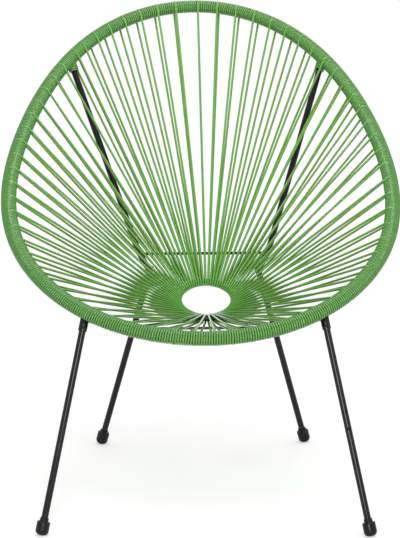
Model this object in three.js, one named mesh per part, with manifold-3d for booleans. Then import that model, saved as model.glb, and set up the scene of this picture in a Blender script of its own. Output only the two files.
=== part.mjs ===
// Round cord lounge chair: a tilted egg-shaped steel hoop wound with cord, a small
// centre ring, a loop of cord between them at every few turns, and a four-legged base.
// Millimetres, +Z up, the sitter faces -Y. The origin is the bottom centre of the whole.
import * as THREE from 'three';
import { mergeVertices } from 'three/addons/utils/BufferGeometryUtils.js';
import Module from 'manifold-3d';

const wasm = await Module();
wasm.setup();

// Clearance between pieces that touch, the overrun of cutting tools, and the distance
// within which corners count as one.
const seatClearance = 0.3;
const cutOverrun = 5;
const weldDistance = 0.0001;

// Hoop: a flat egg-shaped loop of oval tube, wider in the loop's own plane, tilted up at
// the back.
const hoopSemiWidth = 360.5;
const hoopSemiLength = 438.6;
const hoopWidthShares = [1, -0.0856, 0.0593];
const hoopLengthShares = [1, -0.0216, 0.0462];
const hoopTiltDegrees = 32.8;
const hoopCentreHeight = 601.4;
const hoopTubeHalfWidth = 9.7;
const hoopTubeHalfDepth = 7.2;
const hoopSides = 8;
const hoopSteps = 60;

// Cord and its winding on the hoop. One rib stands for six neighbouring turns.
const cordRadius = 2.1;
const cordTurnPitch = 4.31;
const turnsPerRib = 6;
const ribDepthShare = 0.5;
const ribSides = 8;
const ribRingsEach = 2;

// Cord loops strung from the hoop to the ring, counted out each way from the back. They
// are even round the back and sides and closer at the front. A lower strand leaves the
// winding a little farther from the back than its upper strand, most of all at the sides.
const loopCount = 67;
const rightLoopShift = 6;
const leftLoopShift = -1.5;
const rightSpacing = 40.3;
const leftSpacing = 38.5;
const evenLoopsEachSide = 24;
const lowerStrandLead = 16;
const jointSpread = 15;
const stretchSetback = 11;
const cordSides = 5;
const wrapSegments = 4;
const strandStartShare = 0.62;
const loopClearance = 0.55;

// Centre ring that every loop passes round, below the hoop's centre. The pull of the cords
// holds it off the middle.
const ringRadius = 54.8;
const ringTubeRadius = 5;
const ringTiltDegrees = 26.5;
const ringSideways = 11;
const ringSetback = -30;
const ringDrop = 269.6;
const ringSides = 8;
const ringSteps = 32;

// Base tube, and where it meets the hoop. The right front foot stands a little ahead of the
// left one.
const legRadius = 6;
const legSides = 12;
const stayPhaseDegrees = 47.3;
const frontLegPhaseDegrees = 154.1;
const frontFootOut = 81.5;
const frontFootForward = 60.4;
const frontFootStagger = 12;

// Knees, where the rear legs and the stays meet, below the hoop's centre. The rear of the
// base stands a little off the middle. Stay bends and rear feet are measured from the knees.
const baseSideways = 9;
const kneeX = 103.3;
const kneeY = 45;
const kneeDrop = 229.9;
const kneeStandOut = 9;
const rearFootOut = 100.2;
const rearFootBack = 105;
const stayBendOut = 21;
const stayBendBack = 39;
const stayBendRise = 28;
const stayBendLength = 26;
const bendSteps = 5;
const upperRodBendStep = 4;

// Sleeves under the hoop that take the front legs.
const sleeveRadius = 7.6;
const sleeveLength = 33;
const sleeveLegGap = 4;

// Thin bracing rods.
const rodRadius = 2.75;
const rodSides = 10;
const lowerRodDrop = 121;
const braceSleeveDrop = 15;
const braceLegDrop = 115;
const braceRise = 15.6;
const braceBendLength = 30;

// Foot caps.
const footRadius = 11.6;
const footLength = 24;
const footEdgeRadius = 8;
const footNeckLength = 6.6;
const footNeckWall = 1.2;
const footSocketDepth = 22;
const footFlatCut = 0.8;
const footSegments = 16;
const footEdgeSteps = 4;

// Small drilled hole in the front of the right front leg.
const legHoleRadius = 2.6;
const legHoleDepth = 3.2;
const legHoleDistance = 206;
const legHoleSides = 12;

const cordGreen = 0x5c9c4a;
const steelBlack = 0x2b2b2a;
const capBlack = 0x232324;

const hoopTilt = THREE.MathUtils.degToRad(hoopTiltDegrees);
const ringTilt = THREE.MathUtils.degToRad(ringTiltDegrees);
const stayPhase = THREE.MathUtils.degToRad(stayPhaseDegrees);
const frontLegPhase = THREE.MathUtils.degToRad(frontLegPhaseDegrees);
const turnHalfWidth = hoopTubeHalfWidth + seatClearance + cordRadius;
const turnHalfDepth = hoopTubeHalfDepth + seatClearance + cordRadius;
const ringCentre = new THREE.Vector3(ringSideways, ringSetback, hoopCentreHeight - ringDrop);
const kneeHeight = hoopCentreHeight - kneeDrop;
const hoopNormal = new THREE.Vector3(0, -Math.sin(hoopTilt), Math.cos(hoopTilt));
const ringNormal = new THREE.Vector3(0, -Math.sin(ringTilt), Math.cos(ringTilt));

// Point on the hoop's centre line. Phase 0 is the back and half a turn is the front.
function hoopPoint(phase) {
  const across = hoopWidthShares.reduce((sum, share, i) => sum + share * Math.sin((i + 1) * phase), 0);
  const along = hoopLengthShares.reduce((sum, share, i) => sum + share * Math.cos((i + 1) * phase), 0);
  const reach = hoopSemiLength * along;
  const height = hoopCentreHeight + reach * Math.sin(hoopTilt);
  return new THREE.Vector3(hoopSemiWidth * across, reach * Math.cos(hoopTilt), height);
}

class HoopCurve extends THREE.Curve {
  getPoint(t, target = new THREE.Vector3()) {
    return target.copy(hoopPoint(t * 2 * Math.PI));
  }
}

const hoopCurve = new HoopCurve();
hoopCurve.arcLengthDivisions = 1440;
const hoopLength = hoopCurve.getLength();

function hoopShareOfPhase(phase) {
  const lengths = hoopCurve.getLengths();
  const place = (phase / (2 * Math.PI)) * hoopCurve.arcLengthDivisions;
  const index = Math.floor(place);
  const next = lengths[Math.min(index + 1, lengths.length - 1)];
  return (lengths[index] + (next - lengths[index]) * (place - index)) / hoopLength;
}

// Point and axes of the hoop at a share of its length, measured from the back.
function hoopFrame(share) {
  const wrapped = share - Math.floor(share);
  const tangent = hoopCurve.getTangentAt(wrapped);
  const outward = new THREE.Vector3().crossVectors(tangent, hoopNormal).normalize();
  return { point: hoopCurve.getPointAt(wrapped), tangent, outward };
}

function ovalOfPoints(centre, axisA, axisB, radiusA, radiusB, sides) {
  return Array.from({ length: sides }, (_, i) => {
    const angle = (i / sides) * 2 * Math.PI;
    return centre.clone()
      .addScaledVector(axisA, radiusA * Math.cos(angle))
      .addScaledVector(axisB, radiusB * Math.sin(angle));
  });
}

function signedVolume(positions, indices) {
  const corner = (i) => new THREE.Vector3().fromArray(positions, indices[i] * 3);
  let volume = 0;
  for (let i = 0; i < indices.length; i += 3) {
    volume += corner(i).dot(corner(i + 1).cross(corner(i + 2))) / 6;
  }
  return volume;
}

// Skin over a run of equal rings of points, either closed on itself or capped at its ends.
function skinRings(rings, closed) {
  const sides = rings[0].length;
  const positions = rings.flat().flatMap((point) => point.toArray());
  const indices = [];
  const spans = closed ? rings.length : rings.length - 1;
  for (let ring = 0; ring < spans; ring += 1) {
    const here = ring * sides;
    const there = ((ring + 1) % rings.length) * sides;
    for (let side = 0; side < sides; side += 1) {
      const next = (side + 1) % sides;
      indices.push(here + side, there + side, there + next);
      indices.push(here + side, there + next, here + next);
    }
  }
  if (!closed) {
    const last = (rings.length - 1) * sides;
    for (let side = 1; side < sides - 1; side += 1) {
      indices.push(0, side, side + 1);
      indices.push(last, last + side + 1, last + side);
    }
  }
  if (signedVolume(positions, indices) < 0) indices.reverse();
  const geometry = new THREE.BufferGeometry();
  geometry.setAttribute('position', new THREE.Float32BufferAttribute(positions, 3));
  geometry.setIndex(indices);
  return geometry;
}

function welded(geometry) {
  const plain = geometry.clone();
  plain.deleteAttribute('normal');
  plain.deleteAttribute('uv');
  return mergeVertices(plain, weldDistance);
}

function toManifold(geometry) {
  const plain = welded(geometry);
  const mesh = new wasm.Mesh({
    numProp: 3,
    vertProperties: new Float32Array(plain.attributes.position.array),
    triVerts: new Uint32Array(plain.index.array),
  });
  return new wasm.Manifold(mesh);
}

function fromManifold(solid) {
  const mesh = solid.getMesh();
  const geometry = new THREE.BufferGeometry();
  geometry.setAttribute('position', new THREE.BufferAttribute(new Float32Array(mesh.vertProperties), 3));
  geometry.setIndex(new THREE.BufferAttribute(new Uint32Array(mesh.triVerts), 1));
  return geometry;
}

function cutAway(body, tools) {
  const solid = tools.reduce((rest, tool) => rest.subtract(toManifold(tool)), toManifold(body));
  return fromManifold(solid);
}

function fused(body, additions) {
  const solid = additions.reduce((whole, part) => whole.add(toManifold(part)), toManifold(body));
  return fromManifold(solid);
}

// Turn a geometry that is modelled along Y so that it runs from one point toward another.
function alongAxis(geometry, from, toward) {
  const direction = toward.clone().sub(from).normalize();
  geometry.applyQuaternion(new THREE.Quaternion().setFromUnitVectors(new THREE.Vector3(0, 1, 0), direction));
  return geometry.translate(from.x, from.y, from.z);
}

function straightBar(from, to, radius, sides) {
  const length = from.distanceTo(to);
  const bar = new THREE.CylinderGeometry(radius, radius, length, sides);
  return alongAxis(bar.translate(0, length / 2, 0), from, to);
}

// Path of straight runs joined by round bends, with steps only round the bends.
class BentPath extends THREE.Curve {
  constructor(corners, bendLength) {
    super();
    this.points = [corners[0]];
    for (let i = 1; i < corners.length - 1; i += 1) {
      const before = pointAlong(corners[i], corners[i - 1], bendLength);
      const after = pointAlong(corners[i], corners[i + 1], bendLength);
      this.points.push(...new THREE.QuadraticBezierCurve3(before, corners[i], after).getPoints(bendSteps));
    }
    this.points.push(corners[corners.length - 1]);
    this.spans = this.points.length - 1;
  }

  getPointAt(u, target = new THREE.Vector3()) {
    return target.copy(this.points[Math.round(u * this.spans)]);
  }

  getTangentAt(u, target = new THREE.Vector3()) {
    const here = Math.round(u * this.spans);
    const start = Math.max(here - 1, 0);
    const end = Math.min(here + 1, this.spans);
    target.copy(this.points[here]).sub(this.points[start]).normalize();
    const onward = this.points[end].clone().sub(this.points[here]).normalize();
    return target.add(onward).normalize();
  }
}

function bentBar(extrudePath, radius, sides) {
  const section = new THREE.Shape().absarc(0, 0, radius, 0, 2 * Math.PI);
  const steps = extrudePath.spans;
  return new THREE.ExtrudeGeometry(section, { extrudePath, steps, curveSegments: sides / 2, bevelEnabled: false });
}

function mirrored(point, side) {
  return new THREE.Vector3(point.x * side, point.y, point.z);
}

function pointAlong(from, toward, distance) {
  return from.clone().addScaledVector(toward.clone().sub(from).normalize(), distance);
}

// Section of the hoop, or of what goes round it, at a share of its length. Growth is how
// much larger than the tube it is all round, and its facets lie outside or on the oval.
function hoopSection(share, growth, sides, facetFit) {
  const { point, outward } = hoopFrame(share);
  const depth = (hoopTubeHalfDepth + growth) * facetFit;
  const width = (hoopTubeHalfWidth + growth) * facetFit;
  return ovalOfPoints(point, hoopNormal, outward, depth, width, sides);
}

// Hoop tube. Some growth gives the tool that shapes pieces to seat on it.
function hoopTube(growth) {
  const rings = Array.from({ length: hoopSteps }, (_, i) => hoopSection(i / hoopSteps, growth, hoopSides, 1));
  return skinRings(rings, true);
}

const hoopTool = hoopTube(seatClearance);

// Ribbed cord winding over a stretch of the hoop, before its bore is cut.
function windingBar(startShare, endShare) {
  const gapShare = seatClearance / 2 / hoopLength;
  const from = startShare + gapShare;
  const span = endShare - gapShare - from;
  const ribs = Math.round((span * hoopLength) / (cordTurnPitch * turnsPerRib));
  const steps = ribs * ribRingsEach;
  const facetFit = 1 / Math.cos(Math.PI / ribSides);
  const crest = seatClearance + cordRadius * 2;
  const groove = crest - cordRadius * ribDepthShare;
  const rings = Array.from({ length: steps + 1 }, (_, i) => {
    const growth = i % ribRingsEach ? crest : groove;
    return hoopSection(from + (span * i) / steps, growth, ribSides, facetFit);
  });
  return skinRings(rings, false);
}

// Centre ring and its axes at an angle from the back.
function ringFrame(angle) {
  const backward = new THREE.Vector3(0, Math.cos(ringTilt), Math.sin(ringTilt));
  const outward = new THREE.Vector3(Math.sin(angle), 0, 0).addScaledVector(backward, Math.cos(angle));
  const point = ringCentre.clone().addScaledVector(outward, ringRadius);
  return { point, tangent: new THREE.Vector3().crossVectors(ringNormal, outward), outward };
}

function centreRing() {
  const torus = new THREE.TorusGeometry(ringRadius, ringTubeRadius, ringSides, ringSteps);
  return torus.rotateX(ringTilt).translate(...ringCentre);
}

// Distance along the hoop from its back to each joint, on the right and on the left.
const stayDistance = hoopShareOfPhase(stayPhase) * hoopLength;
const sleeveDistance = hoopShareOfPhase(frontLegPhase) * hoopLength;
const jointDistances = [stayDistance, sleeveDistance, -stayDistance, -sleeveDistance];

// Steps of the loops from the back, the left ones negative.
const lastStep = (loopCount - 1) / 2;
const loopSteps = Array.from({ length: loopCount }, (_, i) => i - lastStep);

// Distance of a loop along the hoop from its back, the left ones negative.
function loopDistance(step) {
  const side = Math.sign(step);
  const spacing = step < 0 ? leftSpacing : rightSpacing;
  const shift = step < 0 ? leftLoopShift : rightLoopShift;
  const halfLength = hoopLength / 2 - side * shift;
  const frontSpacing = (halfLength - evenLoopsEachSide * spacing) / (loopCount / 2 - evenLoopsEachSide);
  const count = Math.abs(step);
  const run = Math.min(count, evenLoopsEachSide) * spacing
    + Math.max(count - evenLoopsEachSide, 0) * frontSpacing;
  return shift + side * run;
}

// Where an upper or a lower strand leaves the winding. One that would leave it too near a
// joint is moved to the side of the joint where its upper strand lies.
function strandDistance(step, isUpper) {
  const nominal = loopDistance(step);
  const lead = lowerStrandLead * Math.sin((nominal / hoopLength) * 2 * Math.PI);
  const distance = isUpper ? nominal : nominal + lead;
  const joint = jointDistances.find((place) => Math.abs(distance - place) < jointSpread);
  return joint === undefined ? distance : joint + Math.sign(nominal - joint) * jointSpread;
}

// Loop of cord from the top of the winding in to the ring, round it, and back to the
// underside of the winding. Each section has a corner outward and a flat on the ring.
function cordLoop(step) {
  const ring = ringFrame((step / loopCount) * 2 * Math.PI);
  const rimEnd = (isUpper) => {
    const rim = hoopFrame(strandDistance(step, isUpper) / hoopLength);
    const pull = ring.point.clone().sub(rim.point).normalize();
    const outer = new THREE.Vector3().crossVectors(pull, rim.tangent).normalize();
    if (outer.dot(hoopNormal) > 0 !== isUpper) outer.negate();
    const reach = Math.hypot(outer.dot(rim.outward) * turnHalfWidth, outer.dot(hoopNormal) * turnHalfDepth);
    const inward = (turnHalfWidth + cordRadius) * strandStartShare;
    const point = rim.point.clone().addScaledVector(pull, inward).addScaledVector(outer, reach);
    return { point, outer, pull };
  };
  const upper = rimEnd(true);
  const lower = rimEnd(false);
  const ringSide = new THREE.Vector3().crossVectors(upper.pull, ring.tangent).normalize();
  if (ringSide.dot(ringNormal) < 0) ringSide.negate();
  const ringInward = new THREE.Vector3().crossVectors(ring.tangent, ringSide).normalize();
  if (ringInward.dot(upper.pull) < 0) ringInward.negate();
  const restRadius = ringTubeRadius + loopClearance + cordRadius * Math.cos(Math.PI / cordSides);
  const cornerRadius = restRadius / Math.cos(Math.PI / 2 / wrapSegments);
  const wrap = Array.from({ length: wrapSegments + 1 }, (_, i) => {
    const angle = Math.PI / 2 - (i / wrapSegments) * Math.PI;
    const outer = ringSide.clone().multiplyScalar(Math.sin(angle)).addScaledVector(ringInward, Math.cos(angle));
    const radius = i % wrapSegments ? cornerRadius : restRadius;
    return { point: ring.point.clone().addScaledVector(outer, radius), outer };
  });
  const stations = [upper, ...wrap, lower];
  const rings = stations.map(({ point, outer }, i) => {
    const before = stations[Math.max(i - 1, 0)].point;
    const after = stations[Math.min(i + 1, stations.length - 1)].point;
    const into = point.clone().sub(before).normalize();
    const forward = after.clone().sub(point).normalize().add(into).normalize();
    const face = outer.clone().projectOnPlane(forward).normalize();
    const across = new THREE.Vector3().crossVectors(forward, face);
    return ovalOfPoints(point, face, across, cordRadius, cordRadius, cordSides);
  });
  return skinRings(rings, false);
}

// Places where the base's pieces meet, on the right (side 1) or on the left (side -1).
function frontLegTop(side) {
  return mirrored(hoopPoint(frontLegPhase), side);
}

function frontFoot(side) {
  const top = frontLegTop(side);
  const forward = frontFootForward + side * frontFootStagger;
  return new THREE.Vector3(top.x + side * frontFootOut, top.y - forward, 0);
}

function knee(side) {
  return new THREE.Vector3(baseSideways + side * kneeX, kneeY, kneeHeight);
}

function rearFoot(side) {
  return knee(side).add(new THREE.Vector3(side * rearFootOut, rearFootBack, -kneeHeight));
}

function stayBend(side) {
  return knee(side).add(new THREE.Vector3(side * stayBendOut, stayBendBack, stayBendRise));
}

// Where a foot cap's own origin lies on its leg line, for its flat to rest on the ground.
function footOrigin(foot, legTop) {
  const rise = legTop.clone().sub(foot).normalize();
  const lean = Math.acos(rise.z);
  const edgeInset = footRadius - footEdgeRadius;
  const lowest = footEdgeRadius * Math.cos(lean) - edgeInset * Math.sin(lean) - footEdgeRadius;
  return foot.clone().addScaledVector(rise, -(lowest + footFlatCut) / rise.z);
}

function footCap(foot, legTop) {
  const socket = legRadius + seatClearance;
  const profile = [new THREE.Vector2(0, 0)];
  for (let i = 0; i <= footEdgeSteps; i += 1) {
    const angle = (i / footEdgeSteps) * (Math.PI / 2);
    const x = footRadius - footEdgeRadius + footEdgeRadius * Math.sin(angle);
    profile.push(new THREE.Vector2(x, footEdgeRadius - footEdgeRadius * Math.cos(angle)));
  }
  const floor = footLength + footNeckLength - footSocketDepth;
  profile.push(new THREE.Vector2(footRadius, footLength));
  profile.push(new THREE.Vector2(socket + footNeckWall, footLength + footNeckLength));
  profile.push(new THREE.Vector2(socket, footLength + footNeckLength));
  profile.push(new THREE.Vector2(socket, floor));
  profile.push(new THREE.Vector2(0, floor));
  const cap = alongAxis(new THREE.LatheGeometry(profile, footSegments), footOrigin(foot, legTop), legTop);
  const slab = new THREE.BoxGeometry(footRadius * 4, footRadius * 4, footLength);
  return cutAway(cap, [slab.translate(foot.x, foot.y, -footLength / 2)]);
}

function legBottom(foot, legTop) {
  const floor = footLength + footNeckLength - footSocketDepth;
  return pointAlong(footOrigin(foot, legTop), legTop, floor + seatClearance);
}

function frontSleeve(side) {
  const bore = legRadius + seatClearance;
  const profile = [
    new THREE.Vector2(bore, hoopTubeHalfDepth),
    new THREE.Vector2(sleeveRadius, hoopTubeHalfDepth),
    new THREE.Vector2(sleeveRadius, sleeveLength),
    new THREE.Vector2(bore, sleeveLength),
    new THREE.Vector2(bore, hoopTubeHalfDepth),
  ];
  const tube = new THREE.LatheGeometry(profile, legSides);
  return cutAway(alongAxis(tube, frontLegTop(side), frontFoot(side)), [hoopTool]);
}

function frontLeg(side, drilled) {
  const top = frontLegTop(side);
  const foot = frontFoot(side);
  const start = pointAlong(top, foot, hoopTubeHalfWidth + sleeveLegGap);
  const bar = straightBar(start, legBottom(foot, top), legRadius, legSides);
  if (!drilled) return bar;
  const axis = pointAlong(top, foot, legHoleDistance);
  const outside = axis.clone().setY(axis.y - legRadius - cutOverrun);
  const bottom = axis.clone().setY(axis.y - legRadius + legHoleDepth);
  return cutAway(bar, [straightBar(outside, bottom, legHoleRadius, legHoleSides)]);
}

function rearLeg(side, radius) {
  const free = pointAlong(knee(side), rearFoot(side), -kneeStandOut);
  return straightBar(free, legBottom(rearFoot(side), knee(side)), radius, legSides);
}

function stayPath(side) {
  return new BentPath([mirrored(hoopPoint(stayPhase), side), stayBend(side), knee(side)], stayBendLength);
}

function backStay(side, radius) {
  return bentBar(stayPath(side), radius, legSides);
}

function seatedStay(side) {
  return cutAway(backStay(side, legRadius), [hoopTool, rearLeg(side, legRadius + seatClearance)]);
}

// Straight rod between the two back stays, part of the way down their bends.
function upperRod() {
  const ends = [-1, 1].map((side) => stayPath(side).points[upperRodBendStep]);
  const tools = [-1, 1].map((side) => backStay(side, legRadius + seatClearance));
  return cutAway(straightBar(ends[0], ends[1], rodRadius, rodSides), tools);
}

function rearLegPoint(side, drop) {
  return knee(side).lerp(rearFoot(side), drop / kneeHeight);
}

// Straight rod between the two rear legs.
function lowerRod() {
  const ends = [-1, 1].map((side) => rearLegPoint(side, lowerRodDrop));
  const tools = [-1, 1].map((side) => rearLeg(side, legRadius + seatClearance));
  return cutAway(straightBar(ends[0], ends[1], rodRadius, rodSides), tools);
}

// Bent brace: from one front sleeve back to the rear legs, across them and forward again.
function bentBrace() {
  const lean = Math.atan2(rearFootBack, kneeHeight);
  const standOff = (legRadius + rodRadius + seatClearance) / Math.cos(lean);
  const corner = (side) => rearLegPoint(side, braceLegDrop).add(new THREE.Vector3(0, -standOff, 0));
  const end = (side) => pointAlong(frontLegTop(side), frontFoot(side), braceSleeveDrop);
  const crown = corner(-1).lerp(corner(1), 1 / 2).add(new THREE.Vector3(0, 0, braceRise));
  const path = new BentPath([end(-1), corner(-1), crown, corner(1), end(1)], braceBendLength);
  const tools = [-1, 1].map((side) => sleeveTool(side));
  return cutAway(bentBar(path, rodRadius, rodSides), tools);
}

// Envelope of a sleeve, for cutting whatever meets it.
function sleeveTool(side) {
  return straightBar(frontLegTop(side), frontFoot(side), sleeveRadius + seatClearance, legSides);
}

// Stretches of cord, parted just past each joint. The winding is notched round the joints,
// and the loops are one with it.
const stayParting = stayDistance + stretchSetback;
const sleeveParting = sleeveDistance + stretchSetback;
const cordStretches = {
  cord_back: [-stayParting, stayParting],
  cord_right: [stayParting, sleeveParting],
  cord_front: [sleeveParting, hoopLength - sleeveParting],
  cord_left: [-sleeveParting, -stayParting],
};

function cordStretch(start, end) {
  const within = (distance) => distance > start && distance < end;
  const steps = loopSteps.filter((step) => {
    const distance = strandDistance(step, true);
    return within(distance) || within(distance + hoopLength);
  });
  const joints = [-1, 1].flatMap((side) => [backStay(side, legRadius + seatClearance), sleeveTool(side)]);
  const sleeve = cutAway(windingBar(start / hoopLength, end / hoopLength), [hoopTool, ...joints]);
  return fused(sleeve, steps.map(cordLoop));
}

const finishes = {
  cord: { color: cordGreen, roughness: 0.45, metalness: 0 },
  steel: { color: steelBlack, roughness: 0.4, metalness: 0.3 },
  cap: { color: capBlack, roughness: 0.6, metalness: 0 },
};

const chair = new THREE.Group();
chair.name = 'cord_lounge_chair';

function addPiece(name, geometry, finish) {
  const piece = new THREE.Mesh(geometry, new THREE.MeshStandardMaterial({ name: finish, ...finishes[finish] }));
  piece.name = name;
  chair.add(piece);
}

addPiece('rim_hoop', hoopTube(0), 'steel');
for (const [name, [start, end]] of Object.entries(cordStretches)) {
  addPiece(name, cordStretch(start, end), 'cord');
}
addPiece('centre_ring', centreRing(), 'steel');
for (const [word, side] of [['left', -1], ['right', 1]]) {
  addPiece(`back_stay_${word}`, seatedStay(side), 'steel');
  addPiece(`front_sleeve_${word}`, frontSleeve(side), 'steel');
  addPiece(`front_leg_${word}`, frontLeg(side, side > 0), 'steel');
  addPiece(`rear_leg_${word}`, rearLeg(side, legRadius), 'steel');
  addPiece(`front_foot_${word}`, footCap(frontFoot(side), frontLegTop(side)), 'cap');
  addPiece(`rear_foot_${word}`, footCap(rearFoot(side), knee(side)), 'cap');
}
addPiece('rod_upper', upperRod(), 'steel');
addPiece('rod_lower', lowerRod(), 'steel');
addPiece('brace_bent', bentBrace(), 'steel');

// Set the bottom centre of the whole at the origin.
const bounds = new THREE.Box3().setFromObject(chair);
const centre = bounds.getCenter(new THREE.Vector3());
chair.children.forEach((piece) => piece.geometry.translate(-centre.x, -centre.y, -bounds.min.z));

export default chair;
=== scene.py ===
import math

import bmesh
import bpy
import numpy as np
from mathutils import Matrix, Vector


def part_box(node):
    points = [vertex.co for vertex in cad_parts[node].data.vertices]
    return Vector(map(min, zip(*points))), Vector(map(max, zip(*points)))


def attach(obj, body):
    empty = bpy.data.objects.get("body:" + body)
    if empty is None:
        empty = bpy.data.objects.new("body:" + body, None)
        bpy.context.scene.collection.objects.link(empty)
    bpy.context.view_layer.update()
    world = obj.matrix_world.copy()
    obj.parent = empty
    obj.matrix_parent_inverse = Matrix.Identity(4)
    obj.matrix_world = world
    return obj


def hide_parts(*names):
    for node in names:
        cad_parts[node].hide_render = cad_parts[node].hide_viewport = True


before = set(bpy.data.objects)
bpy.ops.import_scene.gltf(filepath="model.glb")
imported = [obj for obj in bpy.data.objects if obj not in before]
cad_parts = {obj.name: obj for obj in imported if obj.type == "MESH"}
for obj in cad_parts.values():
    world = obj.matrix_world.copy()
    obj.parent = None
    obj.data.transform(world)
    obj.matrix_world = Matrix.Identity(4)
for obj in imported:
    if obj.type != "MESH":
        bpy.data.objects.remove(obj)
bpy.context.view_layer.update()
print("frame loaded,", len(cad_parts), "nodes")

mm = 0.001  # the chair's sizes are in millimetres, the studio's in metres

# The hoop and the ring, as the part's source has them. There the hoop's middle is the zero point,
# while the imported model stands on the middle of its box, and the ring tells how far apart they are.
hoop = dict(
    semiWidth=360.5, semiLength=438.6,
    widthShares=(1, -0.0856, 0.0593), lengthShares=(1, -0.0216, 0.0462),
    tilt=math.radians(32.8), height=601.4,
    inPlane=9.7, across=7.2,  # half sizes of the oval tube
    pointsRound=240, sides=24,
    measureSteps=14400, tangentStep=1e-4,  # for lengths along the hoop, and for its direction
)
ring = dict(radius=54.8, tube=5.0, tilt=math.radians(26.5), x=11.0, y=-30.0, drop=269.6,
            pointsRound=96, sides=20)

ringLow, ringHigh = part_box("centre_ring")
backShift = (ringLow.y + ringHigh.y) / 2 / mm - ring["y"]
ringCentre = np.array([ring["x"], ring["y"] + backShift, hoop["height"] - ring["drop"]])
print("source stands", round(backShift, 2), "mm behind the middle")

# camera at the photograph's angle
photoCamera = dict(
    place=(-84.9, -3659.9, 1162.3),  # mm, in the source's own frame
    pitch=math.radians(12.0), yaw=math.radians(-1.333), roll=math.radians(-0.173),
    focalPixels=1992.55, longSidePixels=538, sensor=36.0,
    nearest=0.1, farthest=50.0,
)


def placeCamera(c):
    pitch, yaw, roll = c["pitch"], c["yaw"], c["roll"]
    ahead = Vector((-math.sin(yaw) * math.cos(pitch), math.cos(yaw) * math.cos(pitch), -math.sin(pitch)))
    level = Vector((math.cos(yaw), math.sin(yaw), 0))
    up = level.cross(ahead)
    right = level * math.cos(roll) + up * math.sin(roll)
    top = up * math.cos(roll) - level * math.sin(roll)
    data = bpy.data.cameras.new("photoCamera")
    data.sensor_width = c["sensor"]
    data.lens = c["focalPixels"] * c["sensor"] / c["longSidePixels"]
    data.clip_start, data.clip_end = c["nearest"], c["farthest"]
    camera = bpy.data.objects.new("photoCamera", data)
    bpy.context.scene.collection.objects.link(camera)
    spot = (Vector(c["place"]) + Vector((0, backShift, 0))) * mm
    camera.matrix_world = Matrix((
        (right.x, top.x, -ahead.x, spot.x),
        (right.y, top.y, -ahead.y, spot.y),
        (right.z, top.z, -ahead.z, spot.z),
        (0, 0, 0, 1)))
    bpy.context.scene.camera = camera


placeCamera(photoCamera)
print("camera placed")

# pale floor, white room and four soft lamps, all in metres and watts
studio = dict(
    floorSize=9.0, floorColour=(0.80, 0.80, 0.80), farColour=(0.04, 0.04, 0.04),
    nearest=0.9, farthest=2.4,  # how far from the middle the lit floor starts and ends turning plain white
    glowNear=0.42, glowFar=1.0,
    roomStrength=0.42, whiteStrength=1.0,
    lamps=(  # name, place, aim, width, height, watts
        ("topSoftbox", (0.2, 0.2, 3.0), (0, 0, 0.4), 1.8, 1.8, 34),
        ("frontSoftbox", (-0.1, -3.3, 2.5), (0, 0, 0.45), 0.9, 0.9, 30),
        ("lowStrip", (-0.1, -3.6, 0.45), (0, 0, 0.35), 1.3, 0.8, 38),
        ("sideSoftbox", (2.6, -1.6, 1.5), (0, 0, 0.45), 0.7, 1.6, 6),
    ),
)


def addNode(tree, kind, **values):
    node = tree.nodes.new(kind)
    for key, value in values.items():
        node.inputs[key].default_value = value
    return node


def remap(tree, value, fromLow, fromHigh, toLow, toHigh):
    limits = {"From Min": fromLow, "From Max": fromHigh, "To Min": toLow, "To Max": toHigh}
    span = addNode(tree, "ShaderNodeMapRange", **limits)
    tree.links.new(value, span.inputs["Value"])
    return span.outputs[0]


def freshTree(owner):
    owner.use_nodes = True
    owner.node_tree.nodes.clear()
    return owner.node_tree


def colourMix(tree, first, second, share):
    mix = tree.nodes.new("ShaderNodeMix")
    mix.data_type = "RGBA"
    for socket, value in ((mix.inputs[6], first), (mix.inputs[7], second)):
        if isinstance(value, tuple):
            socket.default_value = (*value, 1)
        else:
            tree.links.new(value, socket)
    tree.links.new(share, mix.inputs[0])
    return mix.outputs[2]


# 1 for the rays that should find a white room: those of the camera, and reflections and
# views through glass
def whiteRays(tree):
    path = tree.nodes.new("ShaderNodeLightPath")
    share = path.outputs["Is Camera Ray"]
    for ray in ("Is Glossy Ray", "Is Transmission Ray"):
        either = tree.nodes.new("ShaderNodeMath")
        either.operation = "MAXIMUM"
        tree.links.new(share, either.inputs[0])
        tree.links.new(path.outputs[ray], either.inputs[1])
        share = either.outputs[0]
    return share


def buildRoom(s):
    world = bpy.data.worlds.new("studioRoom")
    bpy.context.scene.world = world
    tree = freshTree(world)
    room = addNode(tree, "ShaderNodeBackground", Color=(1, 1, 1, 1), Strength=s["roomStrength"])
    white = addNode(tree, "ShaderNodeBackground", Color=(1, 1, 1, 1), Strength=s["whiteStrength"])
    mix = tree.nodes.new("ShaderNodeMixShader")
    out = tree.nodes.new("ShaderNodeOutputWorld")
    tree.links.new(whiteRays(tree), mix.inputs["Fac"])
    tree.links.new(room.outputs[0], mix.inputs[1])
    tree.links.new(white.outputs[0], mix.inputs[2])
    tree.links.new(mix.outputs[0], out.inputs["Surface"])


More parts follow.
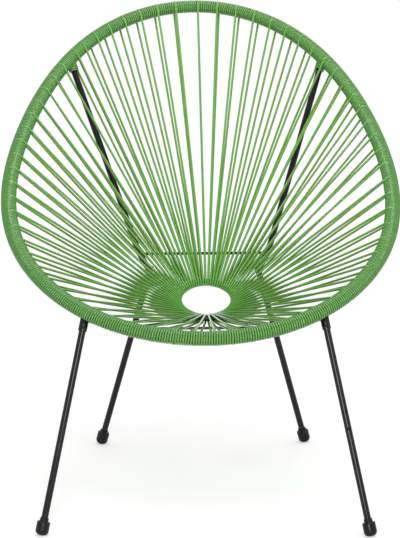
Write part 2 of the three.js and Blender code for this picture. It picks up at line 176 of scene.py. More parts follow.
def buildFloor(s):
    mat = bpy.data.materials.new("paleFloor")
    tree = freshTree(mat)
    matt = tree.nodes.new("ShaderNodeBsdfDiffuse")
    glow = addNode(tree, "ShaderNodeEmission", Color=(1, 1, 1, 1))
    place = tree.nodes.new("ShaderNodeTexCoord")
    fromMiddle = tree.nodes.new("ShaderNodeVectorMath")
    fromMiddle.operation = "LENGTH"
    level = tree.nodes.new("ShaderNodeMath")
    level.operation = "MULTIPLY"
    both = tree.nodes.new("ShaderNodeAddShader")
    out = tree.nodes.new("ShaderNodeOutputMaterial")
    tree.links.new(place.outputs["Object"], fromMiddle.inputs[0])
    distance = fromMiddle.outputs["Value"]
    away = remap(tree, distance, s["nearest"], s["farthest"], 0, 1)
    tree.links.new(colourMix(tree, s["floorColour"], s["farColour"], away), matt.inputs["Color"])
    strength = remap(tree, distance, s["nearest"], s["farthest"], s["glowNear"], s["glowFar"])
    tree.links.new(strength, level.inputs[0])
    tree.links.new(whiteRays(tree), level.inputs[1])
    tree.links.new(level.outputs[0], glow.inputs["Strength"])
    tree.links.new(matt.outputs[0], both.inputs[0])
    tree.links.new(glow.outputs[0], both.inputs[1])
    tree.links.new(both.outputs[0], out.inputs["Surface"])
    half = s["floorSize"] / 2
    mesh = bpy.data.meshes.new("studioFloor")
    corners = [(-half, -half, 0), (half, -half, 0), (half, half, 0), (-half, half, 0)]
    mesh.from_pydata(corners, [], [(0, 1, 2, 3)])
    mesh.materials.append(mat)
    floor = bpy.data.objects.new("studioFloor", mesh)
    bpy.context.scene.collection.objects.link(floor)


def hangLamps(s):
    for name, place, aim, width, height, watts in s["lamps"]:
        light = bpy.data.lights.new(name, "AREA")
        light.shape = "RECTANGLE"
        light.size, light.size_y = width, height
        light.energy = watts
        lamp = bpy.data.objects.new(name, light)
        lamp.location = place
        lamp.rotation_mode = "QUATERNION"
        lamp.rotation_quaternion = (Vector(aim) - Vector(place)).to_track_quat("-Z", "Y")
        lamp.visible_camera = False  # no lamp shows in a view from another side
        bpy.context.scene.collection.objects.link(lamp)


bpy.context.scene.view_settings.view_transform = "Standard"
buildRoom(studio)
buildFloor(studio)
hangLamps(studio)
print("studio built")

# Finishes. Plastic cord: fine lines along it, a slow change of tone from turn to turn, and
# painted shade on its flanks where turn lies against turn, and on both sides of each seat strand.
# each finish's darkest colour is painted shade, laid on the cord's flanks between the two cosines that
# follow it
cordFinishes = dict(
    windingGreen=dict(
        light=(0.116, 0.356, 0.056), dark=(0.082, 0.268, 0.036), flankShade=(0.013, 0.064, 0.007),
        bothSides=False, flankShadeTo=0.00, flankShadeFrom=0.85, rough=0.16, gloss=0.6),
    upperCordGreen=dict(
        light=(0.146, 0.440, 0.062), dark=(0.112, 0.355, 0.043), flankShade=(0.094, 0.228, 0.020),
        bothSides=True, flankShadeTo=0.05, flankShadeFrom=0.75, rough=0.14, gloss=0.5),
    # painted light: the lower strands' green is made lighter than the upper strands' to offset the shade
    # they lie in under the upper strands
    lowerCordLightenedGreen=dict(
        light=(0.195, 0.470, 0.050), dark=(0.150, 0.375, 0.036), flankShade=(0.130, 0.235, 0.014),
        bothSides=True, flankShadeTo=0.05, flankShadeFrom=0.85, rough=0.18, gloss=0.4),
)
cordLines = dict(
    round=5.0, along=70.0, lineDetail=3.0,
    toneRound=0.3, toneAlong=11.0, toneDetail=1.0, toneShare=0.6,
    noiseRough=0.55, low=0.30, high=0.66,
    glossSpread=0.04, bump=0.05, bumpDepth=0.0003,
)


def layNoise(tree, lay, acrossScale, alongScale, detail):
    stretch = addNode(tree, "ShaderNodeMapping", Scale=(acrossScale, alongScale, 1))
    rough = cordLines["noiseRough"]
    noise = addNode(tree, "ShaderNodeTexNoise", Scale=1.0, Detail=detail, Roughness=rough)
    tree.links.new(lay.outputs["UV"], stretch.inputs["Vector"])
    tree.links.new(stretch.outputs[0], noise.inputs["Vector"])
    return noise.outputs["Fac"]


def cordFinish(name, f):
    g = cordLines
    mat = bpy.data.materials.new(name)
    mat.use_nodes = True
    tree = mat.node_tree
    shader = tree.nodes["Principled BSDF"]
    shader.inputs["Specular IOR Level"].default_value = f["gloss"]
    lay = tree.nodes.new("ShaderNodeUVMap")  # round the cord from its outer side, and along it in metres
    lay.uv_map = "cordLay"
    lines = layNoise(tree, lay, g["round"], g["along"], g["lineDetail"])
    slow = layNoise(tree, lay, g["toneRound"], g["toneAlong"], g["toneDetail"])
    blend = tree.nodes.new("ShaderNodeMix")
    blend.inputs[0].default_value = g["toneShare"]
    tree.links.new(lines, blend.inputs[2])
    tree.links.new(slow, blend.inputs[3])
    lightness = remap(tree, blend.outputs[0], g["low"], g["high"], 0, 1)
    tone = colourMix(tree, f["dark"], f["light"], lightness)
    parts = tree.nodes.new("ShaderNodeSeparateXYZ")
    tree.links.new(lay.outputs["UV"], parts.inputs[0])
    turn = tree.nodes.new("ShaderNodeMath")
    turn.operation = "MULTIPLY"
    turn.inputs[1].default_value = 2 * math.pi
    tree.links.new(parts.outputs["X"], turn.inputs[0])
    outer = tree.nodes.new("ShaderNodeMath")
    outer.operation = "COSINE"
    tree.links.new(turn.outputs[0], outer.inputs[0])
    if f["bothSides"]:
        either = tree.nodes.new("ShaderNodeMath")
        either.operation = "ABSOLUTE"
        tree.links.new(outer.outputs[0], either.inputs[0])
        outer = either
    # painted shade: the colour darkens towards the cord's flanks, over the winding's inner side and on
    # both sides of each seat strand
    flankShade = remap(tree, outer.outputs[0], f["flankShadeTo"], f["flankShadeFrom"], 0, 1)
    tree.links.new(colourMix(tree, f["flankShade"], tone, flankShade), shader.inputs["Base Color"])
    rough = remap(tree, lines, 0, 1, f["rough"] - g["glossSpread"], f["rough"] + g["glossSpread"])
    tree.links.new(rough, shader.inputs["Roughness"])
    grain = addNode(tree, "ShaderNodeBump", Strength=g["bump"], Distance=g["bumpDepth"])
    tree.links.new(lines, grain.inputs["Height"])
    tree.links.new(grain.outputs[0], shader.inputs["Normal"])
    return mat


windingGreen, upperCordGreen, lowerCordLightenedGreen = (cordFinish(name, f) for name, f in cordFinishes.items())

# Powder coat on the steel and moulded rubber on the feet: a fine pebble, soft rubs, uneven gloss.
coatFinishes = dict(
    blackSteel=dict(
        light=(0.010, 0.010, 0.009), dark=(0.004, 0.004, 0.004), rough=0.15, specular=0.27,
        pebbleScale=900.0, pebbleDepth=0.00010, bump=0.10, rubScale=14.0, rubs=1.0),
    blackCap=dict(
        light=(0.010, 0.010, 0.010), dark=(0.004, 0.004, 0.004), rough=0.22, specular=0.22,
        pebbleScale=1400.0, pebbleDepth=0.00014, bump=0.25, rubScale=18.0, rubs=0.8),
)
coatNoise = dict(
    pebbleDetail=2.0, pebbleRough=0.55, rubDetail=5.0, rubRough=0.62,
    rubFrom=0.34, rubTo=0.70, smoother=0.08, rougher=0.10,
)


def coatFinish(name, f):
    n = coatNoise
    mat = bpy.data.materials.new(name)
    mat.use_nodes = True
    tree = mat.node_tree
    shader = tree.nodes["Principled BSDF"]
    shader.inputs["Specular IOR Level"].default_value = f["specular"]
    place = tree.nodes.new("ShaderNodeTexCoord")
    pebble = addNode(tree, "ShaderNodeTexNoise", Scale=f["pebbleScale"], Detail=n["pebbleDetail"],
                     Roughness=n["pebbleRough"])
    rubs = addNode(tree, "ShaderNodeTexNoise", Scale=f["rubScale"], Detail=n["rubDetail"],
                   Roughness=n["rubRough"])
    for noise in (pebble, rubs):
        tree.links.new(place.outputs["Object"], noise.inputs["Vector"])
    worn = remap(tree, rubs.outputs["Fac"], n["rubFrom"], n["rubTo"], 0, f["rubs"])
    tree.links.new(colourMix(tree, f["dark"], f["light"], worn), shader.inputs["Base Color"])
    low, high = f["rough"] - n["smoother"], f["rough"] + n["rougher"]
    rough = remap(tree, rubs.outputs["Fac"], 0, 1, low, high)
    tree.links.new(rough, shader.inputs["Roughness"])
    grain = addNode(tree, "ShaderNodeBump", Strength=f["bump"], Distance=f["pebbleDepth"])
    tree.links.new(pebble.outputs["Fac"], grain.inputs["Height"])
    tree.links.new(grain.outputs[0], shader.inputs["Normal"])
    return mat


blackSteel, blackCap = (coatFinish(name, f) for name, f in coatFinishes.items())
print("finishes mixed")


def unit(v):
    return v / np.linalg.norm(v, axis=-1, keepdims=True)


# the hoop's line, and lengths along it from the back
def hoopPoint(phase):
    phase = np.asarray(phase, float)
    across = sum(share * np.sin((i + 1) * phase) for i, share in enumerate(hoop["widthShares"]))
    forward = sum(share * np.cos((i + 1) * phase) for i, share in enumerate(hoop["lengthShares"]))
    reach = hoop["semiLength"] * forward
    return np.stack([
        hoop["semiWidth"] * across,
        reach * math.cos(hoop["tilt"]) + backShift,
        hoop["height"] + reach * math.sin(hoop["tilt"])], axis=-1)


finePhases = np.linspace(0, 2 * math.pi, hoop["measureSteps"] + 1)
fineSpans = np.linalg.norm(np.diff(hoopPoint(finePhases), axis=0), axis=1)
fineLengths = np.concatenate([[0], np.cumsum(fineSpans)])
hoopLength = fineLengths[-1]
hoopNormal = np.array([0, -math.sin(hoop["tilt"]), math.cos(hoop["tilt"])])
ringNormal = np.array([0, -math.sin(ring["tilt"]), math.cos(ring["tilt"])])


# point, tangent and outward direction at a distance along the hoop
def hoopFrame(distance):
    phase = np.interp(np.mod(distance, hoopLength), fineLengths, finePhases)
    step = hoop["tangentStep"]
    tangent = unit(hoopPoint(phase + step) - hoopPoint(phase - step))
    return hoopPoint(phase), tangent, unit(np.cross(tangent, hoopNormal))


# the same round the ring, at an angle from its back
def ringFrame(angle):
    side = np.array([1.0, 0, 0])
    back = np.array([0, math.cos(ring["tilt"]), math.sin(ring["tilt"])])
    outward = side * math.sin(angle) + back * math.cos(angle)
    return ringCentre + outward * ring["radius"], side * math.cos(angle) - back * math.sin(angle), outward


# one finished object from plain lists, riding on the chair's only body
def finishPiece(name, verts, faces, uvs, mats, matIndex, nodes):
    mesh = bpy.data.meshes.new(name)
    mesh.from_pydata([tuple(v) for v in verts], [], faces)
    for mat in mats:
        mesh.materials.append(mat)
    if uvs is not None:
        layer = mesh.uv_layers.new(name="cordLay")
        layer.data.foreach_set("uv", np.asarray(uvs, np.float32).ravel())
    if matIndex is not None:
        mesh.polygons.foreach_set("material_index", np.asarray(matIndex, np.int32))
    mesh.polygons.foreach_set("use_smooth", [True] * len(mesh.polygons))
    mesh.update()
    piece = bpy.data.objects.new(name, mesh)
    bpy.context.scene.collection.objects.link(piece)
    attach(piece, "root")
    if nodes:
        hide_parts(*nodes)
    return piece


# One mesh of round tubes. Each run has points, normals toward its outer side, a radius or one
# per point, and may be closed, flattened or of two materials.
def sweep(runs, sides, name, mats, nodes):
    verts, faces, uvs, matIndex = [], [], [], []
    angles = np.arange(sides) / sides * 2 * math.pi
    base = 0
    for run in runs:
        points = np.asarray(run["points"], float)
        count = len(points)
        closed = run.get("closed", False)
        if closed:
            forward = unit(np.roll(points, -1, axis=0) - np.roll(points, 1, axis=0))
        else:
            forward = unit(np.gradient(points, axis=0))
        outer = np.asarray(run["normals"], float)
        outer = unit(outer - (outer * forward).sum(axis=1, keepdims=True) * forward)
        across = np.cross(forward, outer)
        radius = np.broadcast_to(np.asarray(run["radius"], float), (count,))
        cosines = np.cos(angles)[None, :, None] * run.get("flat", 1.0)
        sines = np.sin(angles)[None, :, None]
        spokes = cosines * outer[:, None, :] + sines * across[:, None, :]
        rings = points[:, None, :] + radius[:, None, None] * spokes
        verts.append(rings.reshape(-1, 3) * mm)
        lengths = np.concatenate([[0], np.cumsum(np.linalg.norm(np.diff(points, axis=0), axis=1))]) * mm
        matOf = np.broadcast_to(run.get("mat", 0), (count,))
        for i in range(count if closed else count - 1):
            j = (i + 1) % count
            near, far = lengths[i], lengths[j] if j else lengths[i] + mm  # a closed run's last span
            here, there = base + i * sides, base + j * sides
            for k in range(sides):
                m = (k + 1) % sides
                faces.append((here + k, there + k, there + m, here + m))
                low, high = k / sides, (k + 1) / sides
                uvs.extend(((low, near), (low, far), (high, far), (high, near)))
                matIndex.append(int(matOf[i]))
        if not closed:
            for end, order in ((0, range(sides)), (count - 1, reversed(range(sides)))):
                faces.append(tuple(base + end * sides + k for k in order))
                uvs.extend(((0.0, lengths[end]),) * sides)
                matIndex.append(int(matOf[end]))
        base += count * sides
    return finishPiece(name, np.concatenate(verts), faces, uvs, mats, matIndex, nodes)


# Seat cords. Each loop runs from the winding in to the ring, round it and back out under its
# upper strand. The upper strand is laid over the winding, farthest at the back of the hoop.
cord = dict(
    radius=2.1, gap=0.3, strandSides=12,
    loops=67, rightFirst=6.0, leftFirst=-1.5, rightSpacing=40.3, leftSpacing=38.5, evenEachSide=24,
    lowerLead=16.0, jointSpread=15.0,
    leadTrim=dict(  # degrees from the back, and mm added to the lead
        left=((75, 0), (88, -5), (118, -5), (130, 0)),
        right=((52, 0), (58, -6), (62, -22), (70, -21), (76, -17),
               (86, -13), (92, -3), (112, -3), (122, 0))),
    stayPhase=math.radians(47.3), sleevePhase=math.radians(154.1),
    proud=1.3, underProud=0.35, sunk=0.4,  # how far a strand stands over the turns, and ends below them
    overBack=math.radians(105), overFront=math.radians(12), under=math.radians(25), overFade=1.4,
    riseCurve=1.5, driftFade=0.5,
    rimPoints=15, bendPoints=10, straightPoints=22,
    upperSag=0.6, lowerSag=1.2, ringGap=0.25,
)
turnCentre = [hoop[reach] + cord["gap"] + cord["radius"] for reach in ("inPlane", "across")]
stayAlong = float(np.interp(cord["stayPhase"], finePhases, fineLengths))
sleeveAlong = float(np.interp(cord["sleevePhase"], finePhases, fineLengths))
joints = (stayAlong, sleeveAlong, -stayAlong, -sleeveAlong)
lastStep = (cord["loops"] - 1) // 2
loopSteps = range(-lastStep, lastStep + 1)


# point of an oval whose outward normal is (nx, ny)
def ovalContact(nx, ny, reachX, reachY):
    size = np.sqrt((reachX * nx) ** 2 + (reachY * ny) ** 2)
    return reachX ** 2 * nx / size, reachY ** 2 * ny / size


# Where a loop stands along the hoop: evenly for the first loops each side of the back, then evenly
# again in what is left as far as the front.
def loopDistance(step):
    side = 1 if step >= 0 else -1
    first = cord["rightFirst"] if step >= 0 else cord["leftFirst"]
    spacing = cord["rightSpacing"] if step >= 0 else cord["leftSpacing"]
    half = hoopLength / 2 - side * first
    front = (half - cord["evenEachSide"] * spacing) / (cord["loops"] / 2 - cord["evenEachSide"])
    count = abs(step)
    run = min(count, cord["evenEachSide"]) * spacing + max(count - cord["evenEachSide"], 0) * front
    return first + side * run


# where a strand meets the hoop: a lower one runs ahead of its upper one, and both keep off the
# stays and sleeves
def strandDistance(step, upper):
    nominal = loopDistance(step)
    phase = math.degrees(nominal / hoopLength * 2 * math.pi)
    trims = np.array(cord["leadTrim"]["right" if step > 0 else "left"])
    trim = float(np.interp(abs(phase), trims[:, 0], trims[:, 1]))
    lead = cord["lowerLead"] * math.sin(math.radians(phase)) + (trim if step > 0 else -trim)
    distance = nominal if upper else nominal + lead
    for joint in joints:
        if abs(distance - joint) < cord["jointSpread"]:
            return joint + math.copysign(cord["jointSpread"], nominal - joint)
    return distance


# the last stretch of a strand, over or under the turns: points and outer directions
def rimBend(distance, pull, upper):
    c = cord
    rimPoint, tangent, outward = hoopFrame(distance)
    face = unit(np.cross(pull, tangent))
    if (face @ hoopNormal > 0) != upper:
        face = -face
    backness = (0.5 + 0.5 * math.cos(distance / hoopLength * 2 * math.pi)) ** c["overFade"]
    span = c["overFront"] + (c["overBack"] - c["overFront"]) * backness if upper else c["under"]
    proud = c["proud"] if upper else c["underProud"]
    rim, rimNormals = [], []
    for i in range(c["rimPoints"]):
        share = i / (c["rimPoints"] - 1)
        lean = face * math.cos(share * span) - pull * math.sin(share * span)
        skew = lean @ tangent
        flat = lean - tangent * skew
        size = np.linalg.norm(flat)
        n = flat / size
        nx, ny = n @ outward, n @ hoopNormal
        rise = proud - (proud + c["sunk"]) * share ** c["riseCurve"]
        cx, cy = ovalContact(nx, ny, *turnCentre)
        cx += nx * rise
        cy += ny * rise
        drift = skew / size * math.hypot(cx, cy) * (1 - c["driftFade"] * share)
        rim.append(rimPoint + outward * cx + hoopNormal * cy + tangent * drift)
        rimNormals.append(n)
    return rim, rimNormals


# half of a loop's bend round the ring, from its middle
def ringBend(ringPoint, ringTangent, pull, upper):
    c = cord
    sideways = unit(np.cross(pull, ringTangent))
    if (sideways @ ringNormal > 0) != upper:
        sideways = -sideways
    reach = ring["tube"] + c["ringGap"] + c["radius"]
    bend, bendNormals = [], []
    for i in range(c["bendPoints"]):
        angle = math.pi / 2 * (1 - i / (c["bendPoints"] - 1))
        lean = sideways * math.cos(angle) + pull * math.sin(angle)
        lean = unit(lean - ringTangent * (lean @ ringTangent))
        bend.append(ringPoint + lean * reach)
        bendNormals.append(lean)
    return bend, bendNormals


# a whole strand, from the middle of its bend on the ring out to the winding and over it
def strand(step, upper):
    c = cord
    ringPoint, ringTangent = ringFrame(step / c["loops"] * 2 * math.pi)[:2]
    distance = strandDistance(step, upper)
    pull = unit(ringPoint - hoopFrame(distance)[0])
    rim, rimNormals = rimBend(distance, pull, upper)
    bend, bendNormals = ringBend(ringPoint, ringTangent, pull, upper)
    straight, straightNormals = [], []
    sag = c["upperSag"] if upper else c["lowerSag"]
    for i in range(1, c["straightPoints"]):
        share = i / c["straightPoints"]
        dip = hoopNormal * sag * math.sin(math.pi * share)
        straight.append(bend[-1] * (1 - share) + rim[0] * share - dip)
        straightNormals.append(bendNormals[-1] * (1 - share) + rimNormals[0] * share)
    return bend + straight + rim, bendNormals + straightNormals + rimNormals


def stringLoops():
    runs = []
    for step in loopSteps:
        upPoints, upNormals = strand(step, True)
        lowPoints, lowNormals = strand(step, False)
        mat = [0] * (len(upPoints) - 1) + [1] * len(lowPoints)
        runs.append(dict(points=upPoints[::-1] + lowPoints[1:], normals=upNormals[::-1] + lowNormals[1:],
                         radius=cord["radius"], mat=mat))
    return sweep(runs, cord["strandSides"], "seatCordLoops",
                 [upperCordGreen, lowerCordLightenedGreen], ["cord_back", "cord_right", "cord_front", "cord_left"])


stringLoops()
print("cord loops strung:", cord["loops"])

# Base: straight front legs in sleeves, rear legs, and bent stays that carry on up to the hoop
steel = dict(
    leg=6.0, rod=2.75, sides=32, endRound=1.2, endShare=0.4, endRings=4,
    besideBars=(0.31, 0.87, 0.21),  # a direction that no bar runs in
    kneeSide=9.0, kneeX=103.3, kneeY=45.0, kneeDrop=229.9, kneeStandOut=9.0,
    rearFootOut=100.2, rearFootBack=105.0,
    bendOut=21.0, bendBack=39.0, bendRise=28.0, bendLength=26.0,
    frontFootOut=81.5, frontFootForward=60.4, frontFootStagger=12.0,
    sleeveLegGap=4.0,
    holeRadius=2.6, holeDepth=3.2, holeDistance=206.0, holeSides=28, holeEdge=math.radians(35),
)
kneeHeight = hoop["height"] - steel["kneeDrop"]


def vec(x, y, z):
    return np.array([x, y, z], float)


def hoopJoint(phase, side):
    point = hoopPoint(phase)
    return vec(side * point[0], point[1], point[2])


def frontTop(side):
    return hoopJoint(cord["sleevePhase"], side)


def frontFoot(side):
    top = frontTop(side)
    forward = steel["frontFootForward"] + side * steel["frontFootStagger"]
    return vec(top[0] + side * steel["frontFootOut"], top[1] - forward, 0)


def knee(side):
    return vec(steel["kneeSide"] + side * steel["kneeX"], steel["kneeY"] + backShift, kneeHeight)


def rearFoot(side):
    return knee(side) + vec(side * steel["rearFootOut"], steel["rearFootBack"], -kneeHeight)


def stayBend(side):
    return knee(side) + vec(side * steel["bendOut"], steel["bendBack"], steel["bendRise"])


def toward(start, end, distance):
    return start + unit(end - start) * distance


# Winding: the cord wound round the hoop, turn beside turn. The turns crowd between loops, part
# a little at each, and lie slightly uneven. A few more go round the top of each back stay.
winding = dict(
    pitch=4.31, pointsPerTurn=20, sides=10, seed=11,
    part=0.05, partLength=2.6, wander=0.02, swell=0.05,
    stayTurns=4.6, stayPitch=4.3, stayPointsPerTurn=22, stayGap=0.1, stayFrom=7.0, stayStart=0.4,
    stayTuck=1.0, tuckFrom=0.9, tuckOver=0.1,
)


# one random value per turn, smoothed so that it changes from turn to turn without steps
def perTurn(rng, spread, turns):
    each = winding["pointsPerTurn"]
    values = np.repeat(rng.normal(0, spread, turns), each)
    half = each // 2
    padded = np.r_[values[-half:], values, values[:half]]
    return np.convolve(padded, np.ones(each + 1) / (each + 1), "valid")


def stayTurns(side):
    w = winding
    top, below = hoopJoint(cord["stayPhase"], side), stayBend(side)
    axis = unit(below - top)
    level = unit(np.cross(axis, hoopNormal))
    other = np.cross(axis, level)
    share = np.linspace(0, 1, int(w["stayTurns"] * w["stayPointsPerTurn"]) + 1)
    angle = side * (share * w["stayTurns"] * 2 * math.pi + w["stayStart"])
    down = w["stayFrom"] + share * w["stayTurns"] * w["stayPitch"]
    tucked = w["stayTuck"] * np.clip((share - w["tuckFrom"]) / w["tuckOver"], 0, 1)
    reach = steel["leg"] + w["stayGap"] + cord["radius"] - tucked
    normals = level * np.cos(angle)[:, None] + other * np.sin(angle)[:, None]
    points = top + axis * down[:, None] + normals * reach[:, None]
    return dict(points=points, normals=normals, radius=cord["radius"])


# the turns round the hoop, and in the same mesh those on the stays
def windHoop():
    w = winding
    rng = np.random.default_rng(w["seed"])
    turns = int(round(hoopLength / w["pitch"]))
    count = turns * w["pointsPerTurn"]
    angle = np.arange(count) / w["pointsPerTurn"] * 2 * math.pi
    even = np.arange(count) / count * hoopLength
    leaves = np.mod([strandDistance(step, True) for step in loopSteps], hoopLength)
    apart = (even[:, None] - leaves[None, :] + hoopLength / 2) % hoopLength - hoopLength / 2
    weight = 1 + w["part"] * np.exp(-(np.abs(apart).min(axis=1) / w["partLength"]) ** 2)
    weight = weight * (1 + perTurn(rng, w["wander"], turns))
    swell = perTurn(rng, w["swell"], turns)
    placed = np.concatenate([[0], np.cumsum(weight)[:-1]]) / weight.sum() * hoopLength
    point, tangent, outward = hoopFrame(placed)
    nx, ny = np.cos(angle), np.sin(angle)
    cx, cy = ovalContact(nx, ny, *turnCentre)
    cx, cy = cx + nx * swell, cy + ny * swell
    normals = outward * nx[:, None] + hoopNormal * ny[:, None]
    points = point + outward * cx[:, None] + hoopNormal * cy[:, None]
    runs = [dict(points=points, normals=normals, radius=cord["radius"], closed=True)]
    runs += [stayTurns(side) for side in (-1, 1)]
    return sweep(runs, w["sides"], "hoopWinding", [windingGreen], [])


windingPiece = windHoop()
print("hoop wound,", len(windingPiece.data.vertices), "vertices")


# straight runs joined by smooth bends, as points
def bentLine(corners, bendLength, bendPoints=14, straightPoints=6):
    corners = [np.asarray(corner, float) for corner in corners]
    points = []
    start = corners[0]
    for i in range(1, len(corners) - 1):
        before = toward(corners[i], corners[i - 1], bendLength)
        after = toward(corners[i], corners[i + 1], bendLength)
        points += [start + (before - start) * k / straightPoints for k in range(straightPoints)]
        points += [bendPoint(before, corners[i], after, k / bendPoints) for k in range(bendPoints)]
        start = after
    points += [start + (corners[-1] - start) * k / straightPoints for k in range(straightPoints + 1)]
    return np.array(points)


def bendPoint(before, corner, after, share):
    return (1 - share) ** 2 * before + 2 * share * (1 - share) * corner + share ** 2 * after


def straightLine(start, end, count=10):
    return np.array([start + (end - start) * i / count for i in range(count + 1)])


# normals carried along a line without twist
def carriedNormals(points):
    forward = unit(np.gradient(points, axis=0))
    normals = [unit(np.cross(forward[0], steel["besideBars"]))]
    for i in range(1, len(points)):
        normals.append(unit(normals[-1] - forward[i] * (normals[-1] @ forward[i])))
    return np.array(normals)


# a bar's line and radii with both ends rounded over
def roundedEnds(points, radius, rounding):
    shares = np.sin(np.linspace(0, math.pi / 2, steel["endRings"] + 1))[:-1]
    offsets = rounding * (1 - np.sqrt(1 - (1 - shares) ** 2))
    first, second, beforeLast, final = points[0], points[1], points[-2], points[-1]
    head = [toward(first, second, offset) for offset in (*offsets, rounding)]
    tail = [toward(final, beforeLast, offset) for offset in (rounding, *offsets[::-1])]
    radii = radius - rounding + rounding * shares
    inner = list(points[1:-1])
    sizes = np.concatenate([radii, np.full(len(inner) + 2, radius), radii[::-1]])
    return np.array(head + inner + tail), sizes


def steelBar(name, points, radius, node):
    line, sizes = roundedEnds(points, radius, min(steel["endRound"], radius * steel["endShare"]))
    run = dict(points=line, normals=carriedNormals(line), radius=sizes)
    return sweep([run], steel["sides"], name, [blackSteel], [node])


# settings for the feet and sleeves alike
turning = dict(beside=(0.2, 0.9, 0.1), nearAxis=0.001, weld=1e-6)


# a closed profile of (radius, height) turned about a line
def turnedPiece(name, profile, origin, end, sides, mat, node, onFloor=False):
    axis = unit(end - origin)
    level = unit(np.cross(axis, turning["beside"]))
    other = np.cross(axis, level)
    angles = np.arange(sides) / sides * 2 * math.pi
    around = level * np.cos(angles)[:, None] + other * np.sin(angles)[:, None]
    verts = np.concatenate([origin + axis * height + around * radius for radius, height in profile])
    if onFloor:
        verts[:, 2] = np.maximum(verts[:, 2], 0)
    faces = []
    for i in range(len(profile) - 1):
        for k in range(sides):
            m = (k + 1) % sides
            faces.append((i * sides + k, i * sides + m, (i + 1) * sides + m, (i + 1) * sides + k))
    piece = finishPiece(name, verts * mm, faces, None, [mat], None, [node])
    bm = bmesh.new()
    bm.from_mesh(piece.data)
    bmesh.ops.remove_doubles(bm, verts=bm.verts, dist=turning["weld"])
    bmesh.ops.recalc_face_normals(bm, faces=bm.faces)
    bm.to_mesh(piece.data)
    bm.free()
    return piece


# Foot cap: moulded rubber with a rounded foot, a soft shoulder and a thin neck round the leg
footCap = dict(
    radius=11.6, length=24.0, edge=8.0, shoulder=2.2, neck=6.6, neckWall=1.2, socket=22.0,
    flatCut=0.8, legPlay=0.1, sides=48, edgeSteps=12, shoulderSteps=6,
    flare=((0.7, 0.4), (0.15, 1.4)),  # out from the neck and up from the shoulder
    lip=((0, -0.7), (-0.25, -0.15), (-0.6, 0)),  # out from the neck and up from its top
)


# the middle of a cap's underside, where a leaning cap's edge just stands on the floor
def footOrigin(bottom, top):
    f = footCap
    rise = unit(top - bottom)
    lowest = f["edge"] * rise[2] - (f["radius"] - f["edge"]) * math.sqrt(1 - rise[2] ** 2) - f["edge"]
    return bottom - rise * (lowest + f["flatCut"]) / rise[2]


def legBottom(bottom, top):
    f = footCap
    return toward(footOrigin(bottom, top), top, f["length"] + f["neck"] - f["socket"] + cord["gap"])


# a rounded edge of a profile, at its lower or its upper end
def quarterTurn(radius, height, size, count, below):
    angles = [i / count * math.pi / 2 for i in range(count + 1)]
    if below:
        return [(radius + size * math.sin(a), height + size * (1 - math.cos(a))) for a in angles]
    return [(radius + size * math.cos(a), height + size * math.sin(a)) for a in angles]


def mouldFoot(name, bottom, top, node):
    f = footCap
    neckTop = f["length"] + f["neck"]
    neckRadius = steel["leg"] + cord["gap"] + f["neckWall"]
    legSide = steel["leg"] + f["legPlay"]
    socketFloor = neckTop - f["socket"]
    profile = [(turning["nearAxis"], 0)]
    profile += quarterTurn(f["radius"] - f["edge"], 0, f["edge"], f["edgeSteps"], True)
    profile += quarterTurn(f["radius"] - f["shoulder"], f["length"] - f["shoulder"], f["shoulder"],
                           f["shoulderSteps"], False)
    profile += [(neckRadius + out, f["length"] + up) for out, up in f["flare"]]
    profile += [(neckRadius + out, neckTop + up) for out, up in f["lip"]]
    profile += [(legSide, neckTop), (legSide, socketFloor), (turning["nearAxis"], socketFloor)]
    origin = footOrigin(bottom, top)
    return turnedPiece(name, profile, origin, top, f["sides"], blackCap, node, onFloor=True)


# short sleeve under the hoop that takes a front leg
sleeve = dict(radius=7.6, length=33.0, legPlay=0.15, lip=0.7, lipSteps=6, chamferOut=0.25, chamferUp=0.3,
              sides=40)


def turnSleeve(name, side, node):
    s = sleeve
    bore = steel["leg"] + s["legPlay"]
    start = hoop["across"]
    profile = [(bore, start), (s["radius"], start)]
    profile += quarterTurn(s["radius"] - s["lip"], s["length"] - s["lip"], s["lip"], s["lipSteps"], False)
    profile += [(bore + s["chamferOut"], s["length"]), (bore, s["length"] - s["chamferUp"])]
    profile += [(bore, start)]
    return turnedPiece(name, profile, frontTop(side), frontFoot(side), s["sides"], blackSteel,
                       node)


# shallow drilled hole in the front of the right front leg
def drillLeg(leg, centre, direction):
    size = steel["holeRadius"] * mm
    mesh = bpy.data.meshes.new("drill")
    bm = bmesh.new()
    bmesh.ops.create_cone(bm, cap_ends=True, segments=steel["holeSides"], radius1=size, radius2=size,
                          depth=2 * steel["holeDepth"] * mm)
    bm.to_mesh(mesh)
    bm.free()
    drill = bpy.data.objects.new("drill", mesh)
    bpy.context.scene.collection.objects.link(drill)
    drill.rotation_mode = "QUATERNION"
    drill.rotation_quaternion = Vector(direction).to_track_quat("Z", "Y")
    drill.location = Vector(centre * mm)
    cut = leg.modifiers.new("drilled", "BOOLEAN")
    cut.operation = "DIFFERENCE"
    cut.object = drill
    cut.solver = "EXACT"
    bpy.context.view_layer.update()
    graph = bpy.context.evaluated_depsgraph_get()
    drilled = bpy.data.meshes.new_from_object(leg.evaluated_get(graph))
    leg.modifiers.remove(cut)
    leg.data = drilled
    bpy.data.objects.remove(drill)
    leg.data.polygons.foreach_set("use_smooth", [True] * len(leg.data.polygons))
    leg.data.set_sharp_from_angle(angle=steel["holeEdge"])


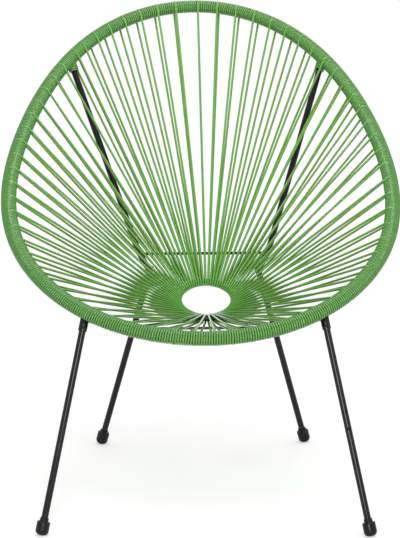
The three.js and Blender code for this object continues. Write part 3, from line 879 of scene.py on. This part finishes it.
for side, word in ((-1, "left"), (1, "right")):
    top, bottom = frontTop(side), frontFoot(side)
    legTop = toward(top, bottom, hoop["inPlane"] + steel["sleeveLegGap"])
    legLine = straightLine(legTop, legBottom(bottom, top))
    leg = steelBar("frontLeg_" + word, legLine, steel["leg"], "front_leg_" + word)
    if side == 1:
        holeMouth = toward(top, bottom, steel["holeDistance"]) + vec(0, -steel["leg"], 0)
        drillLeg(leg, holeMouth, (0, -1, 0))
    bend, back = knee(side), rearFoot(side)
    rearLine = straightLine(toward(bend, back, -steel["kneeStandOut"]), legBottom(back, bend))
    steelBar("rearLeg_" + word, rearLine, steel["leg"], "rear_leg_" + word)
    stayLine = bentLine([hoopJoint(cord["stayPhase"], side), stayBend(side), bend], steel["bendLength"])
    steelBar("backStay_" + word, stayLine, steel["leg"], "back_stay_" + word)
    turnSleeve("frontSleeve_" + word, side, "front_sleeve_" + word)
    mouldFoot("frontFoot_" + word, bottom, top, "front_foot_" + word)
    mouldFoot("rearFoot_" + word, back, bend, "rear_foot_" + word)
print("legs, stays, sleeves and feet made")

# thin rods between the stays and between the rear legs, and the bent brace to the front sleeves
rods = dict(
    upperBendShare=0.6, lowerDrop=121.0, inset=4.5,
    sleeveDrop=15.0, sleeveInset=6.6, braceLegDrop=115.0, braceRise=15.6, braceBend=30.0,
)


def upperRodEnd(side):
    corner = stayBend(side)
    before = toward(corner, hoopJoint(cord["stayPhase"], side), steel["bendLength"])
    after = toward(corner, knee(side), steel["bendLength"])
    return bendPoint(before, corner, after, rods["upperBendShare"])


def rearLegPoint(side, drop):
    return knee(side) + (rearFoot(side) - knee(side)) * drop / kneeHeight


def straightRod(name, left, right, node):
    line = straightLine(toward(left, right, rods["inset"]), toward(right, left, rods["inset"]))
    steelBar(name, line, steel["rod"], node)


def bendBrace():
    lean = math.atan2(steel["rearFootBack"], kneeHeight)
    standOff = (steel["leg"] + steel["rod"] + cord["gap"]) / math.cos(lean)
    left, right = (rearLegPoint(side, rods["braceLegDrop"]) + vec(0, -standOff, 0) for side in (-1, 1))
    crown = (left + right) / 2 + vec(0, 0, rods["braceRise"])
    leftEnd, rightEnd = (toward(frontTop(side), frontFoot(side), rods["sleeveDrop"]) for side in (-1, 1))
    leftEnd = toward(leftEnd, left, rods["sleeveInset"])
    rightEnd = toward(rightEnd, right, rods["sleeveInset"])
    braceLine = bentLine([leftEnd, left, crown, right, rightEnd], rods["braceBend"])
    steelBar("bentBrace", braceLine, steel["rod"], "brace_bent")


straightRod("upperRod", upperRodEnd(-1), upperRodEnd(1), "rod_upper")
straightRod("lowerRod", *(rearLegPoint(side, rods["lowerDrop"]) for side in (-1, 1)), "rod_lower")
bendBrace()


# the small centre ring, and the hoop's own oval tube under its winding
def rollRing():
    angles = np.arange(ring["pointsRound"]) / ring["pointsRound"] * 2 * math.pi
    frames = [ringFrame(angle) for angle in angles]
    points, normals = [f[0] for f in frames], [f[2] for f in frames]
    run = dict(points=points, normals=normals, radius=ring["tube"], closed=True)
    sweep([run], ring["sides"], "centreRing", [blackSteel], ["centre_ring"])


def rollHoop():
    point, tangent, outward = hoopFrame(np.arange(hoop["pointsRound"]) / hoop["pointsRound"] * hoopLength)
    run = dict(points=point, normals=outward, radius=hoop["across"], closed=True,
               flat=hoop["inPlane"] / hoop["across"])
    sweep([run], hoop["sides"], "hoopTube", [blackSteel], ["rim_hoop"])


rollRing()
rollHoop()
print("rods, brace, ring and hoop made")
